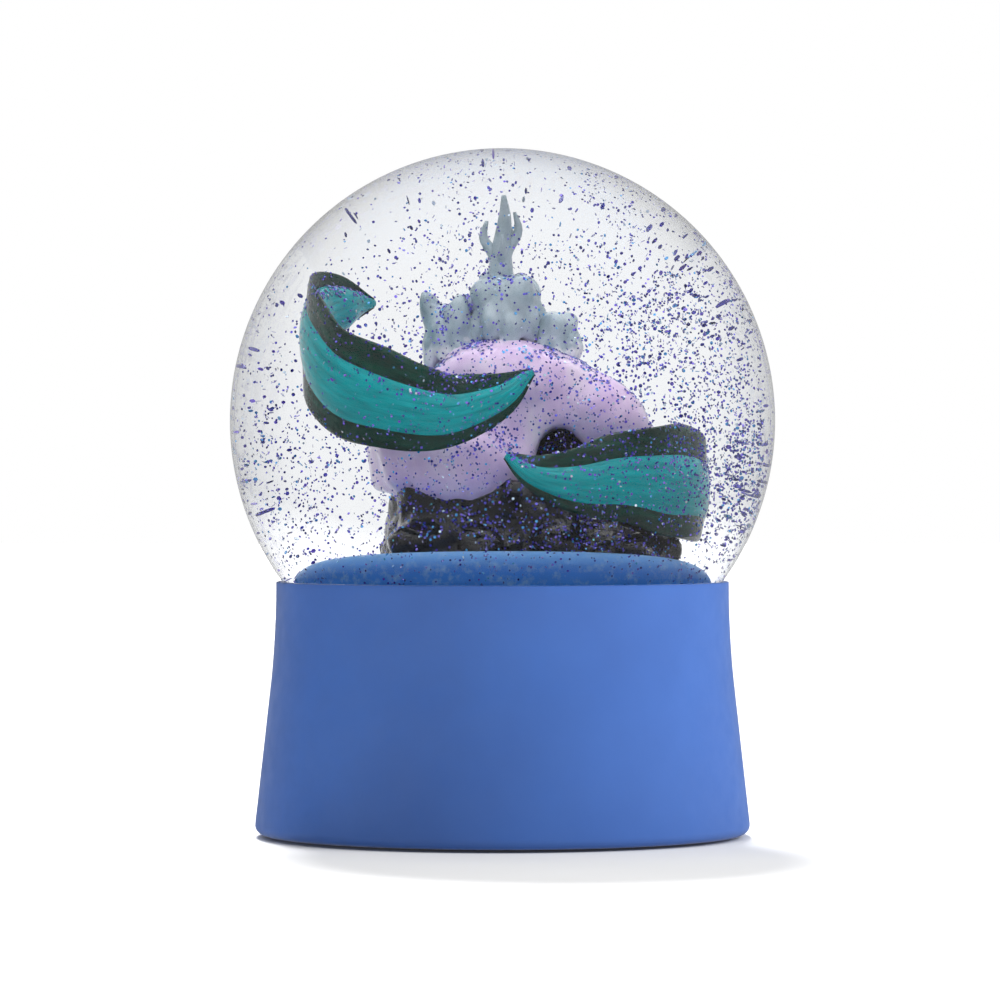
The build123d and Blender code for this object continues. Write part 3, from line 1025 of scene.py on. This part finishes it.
@dataclass
class KelpBlade:
    """A thick kelp blade that winds round the scene: a rounded body between two ruffled margins."""

    layout: Layout
    name: str
    node: str
    stations: Sequence[Station]
    stalk: tuple[tuple[float, float, float], ...]
    sections: int = 64
    sides: int = 24
    body_share: float = 0.72
    body_thickness: float = 1.4
    body_drop: float = 0.35
    margin_thickness: float = 0.42
    margin_setback: float = 0.5
    ruffle: float = 0.25
    ruffle_count: float = 4.0
    margin_lag: float = 1.7
    end_taper: float = 0.12
    least_half_width: float = 0.12
    streak_length: float = 1.4

    def at(self, share: float) -> Station:
        """The cross-section at that share of the blade's length."""
        return Station(*(smooth_between([getattr(station, name) for station in self.stations], share)
                         for name in ("angle", "radius", "height", "width")))

    def place(self, share: float) -> Vector:
        """The middle of the blade at that share of its length."""
        station = self.at(share)
        turn = radians(station.angle)
        return self.layout.carved(station.radius * cos(turn), station.radius * sin(turn), station.height)

    def section_frame(self, share: float) -> Matrix:
        """A frame with X outwards, Y across the blade and Z along it."""
        middle = self.place(share)
        along = (self.place(share + 0.01) - self.place(share - 0.01)).normalized()
        outward = Vector((middle.x, middle.y, 0)).normalized()
        across = along.cross(outward).normalized()
        if across.z < 0:
            across = -across
        outward = across.cross(along)
        frame_matrix = Matrix((outward, across, along)).transposed().to_4x4()
        return Matrix.Translation(middle) @ frame_matrix

    def add_strip(self, mesh: Mesh, thickness: float, width_share: float, setback: float,
                  drop: float, ruffle: float, material_index: int) -> None:
        """Adds one closed strip along the blade.

        Args:
            mesh: Where it goes.
            thickness: Half its thickness at the blade's middle, in mm.
            width_share: Its share of the blade's width.
            setback: How far it lies towards the axis, in mm.
            drop: How far its middle lies below the blade's own, in mm.
            ruffle: Height of the waves at its margins, in mm.
            material_index: The material of its faces.
        """
        across_layer = mesh.verts.layers.float.get("across") or mesh.verts.layers.float.new("across")
        along_layer = mesh.verts.layers.float.get("along") or mesh.verts.layers.float.new("along")
        rings = []
        caps = []
        for index in range(self.sections):
            share = index / (self.sections - 1)
            taper = smooth_step(0, self.end_taper, share) * smooth_step(0, self.end_taper, 1 - share)
            half_width = max(self.at(share).width / 2 * width_share, self.least_half_width)
            half_thickness = thickness * (0.2 + 0.8 * taper)
            is_end = index in (0, self.sections - 1)
            known = set(mesh.faces) if is_end else set()
            ring = bmesh.ops.create_circle(mesh, cap_ends=is_end, segments=self.sides, radius=1.0)["verts"]
            if is_end:
                caps.extend(set(mesh.faces) - known)
            placing = self.section_frame(share)
            for vertex in ring:
                edge = vertex.co.y
                wave = sin(self.ruffle_count * 2 * pi * share + (0 if edge > 0 else self.margin_lag))
                vertex[across_layer] = edge
                vertex[along_layer] = share * self.streak_length
                vertex.co = placing @ Vector((
                    vertex.co.x * half_thickness - setback * taper + ruffle * taper * wave * abs(edge) ** 3,
                    edge * half_width * (1 + 0.1 * ruffle * wave) - drop * taper, 0))
            rings.append(ring)
        for face in [*bridge_rings(mesh, rings), *caps]:
            face.material_index = material_index

    def build(self) -> Mesh:
        """Builds the body and the margins."""
        mesh = bmesh.new()
        self.add_strip(mesh, self.body_thickness, self.body_share, -0.1, self.body_drop, 0.0, 0)
        self.add_strip(mesh, self.margin_thickness, 1.0, self.margin_setback, 0.0, self.ruffle, 1)
        bmesh.ops.recalc_face_normals(mesh, faces=mesh.faces)
        return mesh

    def build_stalk(self) -> Mesh:
        """Builds the stalk that holds the blade."""
        mesh = bmesh.new()
        root, tip = (self.layout.carved(*end) for end in self.stalk)
        middle = (root + tip) / 2 + Vector((0, 0, -0.4))
        add_tube(mesh, [root, middle, tip], [1.5, 0.85, 1.15], 16, 16)
        bmesh.ops.recalc_face_normals(mesh, faces=mesh.faces)
        return mesh

    def dress(self, body: Material, margin: Material) -> list[Piece]:
        """Builds and lacquers the blade and its stalk."""
        return [
            make_piece(self.name, self.build(), [body, margin], stands_for=[self.node]),
            make_piece(f"{self.name}_stem", self.build_stalk(), [margin],
                       stands_for=[f"{self.node}_stalk"]),
        ]


LEFT_STATIONS = [Station(*row) for row in (
    (-222, 14.2, 23.6, 0.8), (-207, 15.4, 23.7, 5.2), (-190, 16.9, 22.9, 8.3),
    (-172, 17.4, 20.6, 10.1), (-155, 17.3, 17.9, 10.6), (-138, 17.0, 16.2, 10.1),
    (-122, 16.6, 15.1, 9.2), (-107, 16.3, 14.8, 7.1), (-92, 16.1, 16.2, 5.0),
    (-79, 16.0, 18.6, 0.8))]
RIGHT_STATIONS = [Station(*row) for row in (
    (-89, 17.0, 10.1, 0.8), (-78, 17.1, 8.2, 4.2), (-64, 17.3, 7.6, 7.0),
    (-46, 17.5, 7.9, 9.6), (-26, 17.6, 7.9, 11.0), (-6, 17.7, 7.8, 10.4),
    (18, 17.2, 7.6, 8.2), (42, 16.3, 7.3, 5.0), (60, 15.4, 7.2, 0.8))]


# ---- glitter ----


@dataclass
class FlakeCloud:
    """A group of glitter flakes on one body."""

    layout: Layout
    name: str
    body: Body
    nodes: tuple[str, ...]
    count: int
    seed: int
    foil: Material
    radius_low: float = 0.09
    radius_high: float = 0.16
    thickness: float = 0.03
    batch: int = 200

    evenness: float = 0.45
    to_right: float = 0.4
    to_bottom: float = 0.35
    drift_depth: float = 1.2
    drift_size: float = 8.0
    thinnest: float = 0.04

    def crowding(self, place: Vector) -> float:
        """How likely a flake is at a place, from 0 to 1: more to the right, low down and in drifts."""
        reach = self.layout.globe_radius
        above = place.z - self.layout.centre_z
        lean = self.evenness + self.to_right * place.x / reach - self.to_bottom * above / reach
        drift = self.evenness + self.drift_depth * noise.noise(place / self.drift_size)
        return max(self.thinnest, min(1.0, lean * drift))

    def spot(self, rng: Random) -> Vector | None:
        """A place for one flake, or nothing if that try failed."""
        raise NotImplementedError

    def try_place(self, rng: Random) -> Matrix | None:
        """A place and any attitude for one flake, or nothing if that try failed."""
        place = self.spot(rng)
        if place is None:
            return None
        attitude = Euler([rng.uniform(0, 2 * pi) for _ in range(3)])
        return Matrix.Translation(place) @ attitude.to_matrix().to_4x4()

    def cut_batch(self, rng: Random, count: int) -> bpy.types.Mesh:
        """Cuts that many flakes and puts each one in its place."""
        mesh = bmesh.new()
        shade = mesh.faces.layers.float.new("shade")
        made = 0
        while made < count:
            place = self.try_place(rng)
            if place is None:
                continue
            radius = rng.uniform(self.radius_low, self.radius_high)
            ring = bmesh.ops.create_circle(mesh, cap_ends=True, segments=6, radius=radius, matrix=place)
            ring["verts"][0].link_faces[0][shade] = rng.random()
            made += 1
        data = bpy.data.meshes.new("batch")
        mesh.to_mesh(data)
        mesh.free()
        return data

    def dress(self) -> Piece:
        """Makes the whole group, batch by batch."""
        rng = Random(self.seed)
        mesh = bmesh.new()
        for start in range(0, self.count, self.batch):
            cut = self.cut_batch(rng, min(self.batch, self.count - start))
            mesh.from_mesh(cut)
            bpy.data.meshes.remove(cut)
        piece = make_piece(self.name, mesh, [self.foil], self.body, self.nodes, sharp_from=0)
        film = piece.modifiers.new("film", "SOLIDIFY")
        film.thickness = self.thickness * MM
        film.offset = 0
        return piece


@dataclass
class SwirlingFlakes(FlakeCloud):
    """Flakes in the outer water, clear of the ring that the sinking ones keep to."""

    reach: float = 29.3
    bore: float = 20.3
    ring_low: float = 22.6
    ring_high: float = 24.0
    floor_z: float = 27.2
    core_gap: float = 0.5

    def spot(self, rng: Random) -> Vector | None:
        """Tries a place in the ball."""
        place = Vector([rng.uniform(-self.reach, self.reach) for _ in range(3)])
        distance = place.length
        place.z += self.layout.centre_z
        radius = hypot(place.x, place.y)
        is_outside_core = radius > self.bore or place.z > self.layout.still_top_z + self.core_gap
        if (distance > self.reach or place.z < self.floor_z or not is_outside_core
                or self.ring_low < radius < self.ring_high or rng.random() > self.crowding(place)):
            return None
        return place


@dataclass
class SinkingFlakes(FlakeCloud):
    """Flakes in the thin ring that slides down inside the outer water."""

    ring_low: float = 23.05
    ring_high: float = 23.55
    channel_low: float = 16.4
    channel_high: float = 17.0
    travel: float = 5.0
    margin: float = 0.4

    def spot(self, rng: Random) -> Vector | None:
        """Tries a place in the ring, above the travel that it needs."""
        turn, radius = rng.uniform(0, 2 * pi), rng.uniform(self.ring_low, self.ring_high)
        height = rng.uniform(self.travel - self.channel_low + self.margin, self.channel_high - self.margin)
        place = Vector((radius * cos(turn), radius * sin(turn), self.layout.centre_z + height))
        if rng.random() > self.crowding(place):
            return None
        return place


@dataclass
class FloatingFlakes(FlakeCloud):
    """Flakes in the still water round the scene, clear of its pieces."""

    scene: BVHTree | None = None
    reach: float = 19.4
    ball_reach: float = 30.2
    margin: float = 0.5
    clearance: float = 0.35

    def spot(self, rng: Random) -> Vector | None:
        """Tries a place over the plinth."""
        turn, radius = rng.uniform(0, 2 * pi), self.reach * sqrt(rng.random())
        height = rng.uniform(self.layout.plinth_top_z + self.margin, self.layout.still_top_z - self.margin)
        place = Vector((radius * cos(turn), radius * sin(turn), height))
        from_centre = (place - Vector((0, 0, self.layout.centre_z))).length
        if from_centre > self.ball_reach or rng.random() > self.crowding(place):
            return None
        nearest, normal, _, distance = self.scene.find_nearest(place * MM)
        if nearest is None or distance < self.clearance * MM or (place * MM - nearest).dot(normal) < 0:
            return None
        return place


@dataclass
class SettledFlakes(FlakeCloud):
    """Flakes that lie on the scene, thicker on level places and in noise-made drifts."""

    surfaces: list[tuple[Piece, float, float]] = field(default_factory=list)
    lift: float = 0.06
    wobble: float = 0.3
    drift_grain: float = 2.4
    bare_share: float = 0.08
    core_reach: float = 19.7
    spots: list[list[Vector]] = field(default_factory=list)
    weights: list[float] = field(default_factory=list)

    def survey(self) -> None:
        """Lists the triangles that flakes may lie on, and how many each one draws."""
        total = 0.0
        for piece, share, lean in self.surfaces:
            mesh = bmesh.new()
            mesh.from_mesh(piece.data)
            bmesh.ops.triangulate(mesh, faces=mesh.faces)
            faces, shares = [], []
            for face in mesh.faces:
                centre = face.calc_center_median() / MM
                drift = smooth_step(-0.25, 0.45, noise.noise(centre / self.drift_grain))
                level = max(0.0, face.normal.z + lean) ** 1.5
                faces.append([corner.co / MM for corner in face.verts])
                shares.append(face.calc_area() * level * (self.bare_share + drift))
            scale = share / max(sum(shares), 1e-12)
            for corners, weight in zip(faces, shares):
                total += weight * scale
                self.spots.append(corners)
                self.weights.append(total)
            mesh.free()

    def try_place(self, rng: Random) -> Matrix | None:
        """Lays a flake on one of the listed triangles."""
        if not self.spots:
            self.survey()
        first, second, third = rng.choices(self.spots, cum_weights=self.weights)[0]
        one, two = rng.random(), rng.random()
        if one + two > 1:
            one, two = 1 - one, 1 - two
        normal = (second - first).cross(third - first).normalized()
        place = first + (second - first) * one + (third - first) * two + normal * self.lift
        if hypot(place.x, place.y) > self.core_reach and place.z > self.layout.plinth_top_z + 1:
            return None
        lean = normal + Vector([rng.uniform(-self.wobble, self.wobble) for _ in range(3)])
        return Matrix.Translation(place) @ lean.to_track_quat("Z", "Y").to_matrix().to_4x4()


def tree_of(pieces: Sequence[Piece]) -> BVHTree:
    """One search tree over the meshes of several pieces."""
    mesh = bmesh.new()
    for piece in pieces:
        mesh.from_mesh(piece.data)
    tree = BVHTree.FromBMesh(mesh)
    mesh.free()
    return tree


# ---- studio ----


@dataclass
class Studio:
    """A white table, soft lamps and the camera."""

    layout: Layout
    distance: float = 0.6233
    camera_x: float = -0.0003
    camera_z: float = 0.0421
    aim_z: float = 0.0401
    lens: float = 188.0
    room: float = 0.32
    room_through_glass: float = 0.95
    mirrored_room: float = 0.04
    mirrored_side: float = 0.6
    mirrored_behind: float = 0.55
    side_share: float = 0.7
    overhead: float = 3.0
    key_place: tuple[float, float, float] = (0.48, -0.20, 0.28)
    key_size: float = 0.30
    key_power: float = 2.2
    sun_direction: tuple[float, float, float] = (-0.12, 0.8, 1.0)
    sun_softness: float = 13.0
    sun_strength: float = 4.6
    table_reach: float = 3.0
    table_drop: float = 0.00005

    def floor(self) -> None:
        """Lays the pale table."""
        mesh = bmesh.new()
        bmesh.ops.create_grid(mesh, x_segments=2, y_segments=2, size=self.table_reach)
        data = bpy.data.meshes.new("table")
        mesh.to_mesh(data)
        mesh.free()
        table = bpy.data.objects.new("table", data)
        table.location.z = -self.table_drop
        bpy.context.collection.objects.link(table)
        shader = Shader("white table")
        shader.colour(shader.ramp(shader.noise(60), [
            (0.3, (0.8, 0.8, 0.8, 1)), (0.7, (0.84, 0.84, 0.84, 1))]))
        shader.set(Roughness=0.8, Specular_IOR_Level=0.0, Emission_Color=(1, 1, 1, 1),
                   Emission_Strength=0.02)
        data.materials.append(shader.material)
        table.visible_glossy = False
        table.visible_transmission = False

    def world(self) -> None:
        """Surrounds the globe with a white room that looks darker in its mirror images."""
        world = bpy.data.worlds.new("white room")
        bpy.context.scene.world = world
        world.use_nodes = True
        nodes = Nodes(world.node_tree)
        ray = nodes.add("ShaderNodeLightPath").outputs
        split = nodes.add("ShaderNodeSeparateXYZ")
        nodes.join(nodes.add("ShaderNodeTexCoord").outputs["Generated"], split.inputs["Vector"])
        across, back, up = (split.outputs[axis] for axis in "XYZ")
        side = nodes.spread(nodes.compute("ABSOLUTE", across), 0.45, 1.0, 1.0, self.side_share)
        overhead = nodes.spread(up, 0.2, 0.85, 1.0, self.overhead)
        behind = nodes.spread(back, 0.35, 1.0, 0.0, self.mirrored_behind)
        mirrored = nodes.compute(
            "MAXIMUM", nodes.spread(across, 0.2, 1.0, self.mirrored_room, self.mirrored_side), behind)
        level = nodes.mix(ray["Is Transmission Ray"], self.room, self.room_through_glass, "FLOAT")
        level = nodes.compute("MULTIPLY", nodes.compute("MULTIPLY", level, side), overhead)
        # A ray bent by the glass counts as glossy too, so only the others are mirror images
        is_mirrored = nodes.compute("SUBTRACT", ray["Is Glossy Ray"], ray["Is Transmission Ray"])
        level = nodes.mix(is_mirrored, level, mirrored, "FLOAT")
        level = nodes.mix(ray["Is Camera Ray"], level, 1.0, "FLOAT")
        nodes.join(level, world.node_tree.nodes["Background"].inputs["Color"])

    def hang(self, light: bpy.types.Light, towards: Vector, place: Sequence[float] = (0, 0, 0)) -> None:
        """Hangs a light that shines that way, and that the glass neither mirrors nor shows."""
        lamp = bpy.data.objects.new(light.name, light)
        lamp.location = place
        lamp.visible_glossy = False
        lamp.visible_transmission = False
        lamp.rotation_euler = towards.to_track_quat("-Z", "Y").to_euler()
        bpy.context.collection.objects.link(lamp)

    def lights(self) -> None:
        """Hangs a square soft lamp at the side, and a sun behind that throws the shadow forwards."""
        key = bpy.data.lights.new("key lamp", "AREA")
        key.size, key.energy = self.key_size, self.key_power
        aim = Vector((0, 0, self.layout.centre_z * MM)) - Vector(self.key_place)
        self.hang(key, aim, self.key_place)
        sun = bpy.data.lights.new("sun", "SUN")
        sun.angle, sun.energy = radians(self.sun_softness), self.sun_strength
        self.hang(sun, -Vector(self.sun_direction))

    def camera(self) -> None:
        """Sets up the camera level with the middle of the globe."""
        data = bpy.data.cameras.new("camera")
        data.lens = self.lens
        data.sensor_width = 36.0
        data.clip_start = 0.01
        camera = bpy.data.objects.new("camera", data)
        camera.location = (self.camera_x, -self.distance, self.camera_z)
        aim = Vector((self.camera_x, 0, self.aim_z)) - camera.location
        camera.rotation_euler = aim.to_track_quat("-Z", "Y").to_euler()
        bpy.context.collection.objects.link(camera)
        bpy.context.scene.camera = camera

    def build(self) -> None:
        """Sets up the whole studio."""
        self.floor()
        self.world()
        self.lights()
        self.camera()
        bpy.context.scene.view_settings.view_transform = "Standard"


def dress_cad_nodes() -> None:
    """Gives the CAD nodes that stay their own materials."""
    stocks = {
        "glue_ring": ("clear epoxy", (214, 206, 176), (232, 226, 204), 0.8, 0.05, 0.15, 0.3),
        "bottom_plate": ("blue base plate", (58, 84, 160), (66, 94, 172), 0.6, 0.04, 0.45, 0.6),
        "foam_pad": ("black foam", (30, 30, 34), (48, 48, 54), 0.35, 0.15, 0.85, 0.95),
        "seal_bead": ("silicone bead", (205, 208, 212), (226, 228, 230), 0.9, 0.06, 0.3, 0.45),
        "rubber_stopper": ("grey rubber", (182, 184, 184), (200, 201, 200), 0.7, 0.05, 0.55, 0.7),
        "rock_pins": ("steel pins", (150, 152, 156), (196, 198, 202), 0.3, 0.02, 0.2, 0.4, 1.0),
    }
    for name, (label, dark, light, *grain) in stocks.items():
        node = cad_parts[name]
        material = PlainStock(label, tint(*dark), tint(*light), *grain).material()
        for slot in node.material_slots:
            slot.material = material
        LOG.info("%s: %s", name, label)


def main() -> None:
    """Builds the globe, its scene, its glitter and the studio."""
    logging.basicConfig(level=logging.INFO, format="%(message)s")
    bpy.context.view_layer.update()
    layout = Layout.read()
    Base(layout).dress()
    Globe(layout).dress()
    plinth = Plinth(layout).dress()
    rock = Rock(layout).dress()
    boulder = Boulder(layout).dress()
    corals = Coral(layout).dress()
    leaf = LeafLacquer("teal lacquer", tint(0, 146, 154), tint(0, 172, 180), tint(4, 196, 202), 0.12,
                       0.26).material()
    margin = LeafLacquer("green lacquer", tint(0, 38, 32), tint(2, 58, 48), tint(6, 78, 64), 0.2,
                         0.36).material()
    left = KelpBlade(layout, "kelp_blade_left", "kelp_left", LEFT_STATIONS,
                     ((-9.0, -1.0, 13.0), (-16.9, -4.4, 19.2))).dress(leaf, margin)
    right = KelpBlade(layout, "kelp_blade_right", "kelp_right", RIGHT_STATIONS,
                      ((12.0, -1.0, 2.6), (17.7, -1.0, 5.2))).dress(leaf, margin)
    dress_cad_nodes()
    foil = GlitterFoil((
        (0.0, tint(30, 34, 160)), (0.38, tint(60, 48, 205)), (0.68, tint(104, 70, 222)),
        (0.84, tint(40, 160, 235)), (0.95, tint(215, 235, 255)))).material()
    scene_pieces = [plinth, rock, boulder, *corals, *left, *right]
    SwirlingFlakes(layout, "swirling_flakes", Body.SWIRL, ("glitter_swirl",), 8600, 11, foil).dress()
    SinkingFlakes(layout, "sinking_flakes", Body.FALLING, ("glitter_sinking",), 1600, 23, foil).dress()
    FloatingFlakes(layout, "floating_flakes", Body.STILL, (), 3000, 37, foil,
                   scene=tree_of(scene_pieces)).dress()
    SettledFlakes(layout, "settled_flakes", Body.STILL, ("glitter_settled",), 6500, 41, foil, surfaces=[
        (plinth, 0.12, 0.1), (rock, 0.28, 0.45), (boulder, 0.27, 0.25), (left[0], 0.14, 0.0),
        (right[0], 0.18, 0.1), (corals[0], 0.02, 0.1), (corals[1], 0.02, 0.1)]).dress()
    Studio(layout).build()


if __name__ == "__main__":
    main()
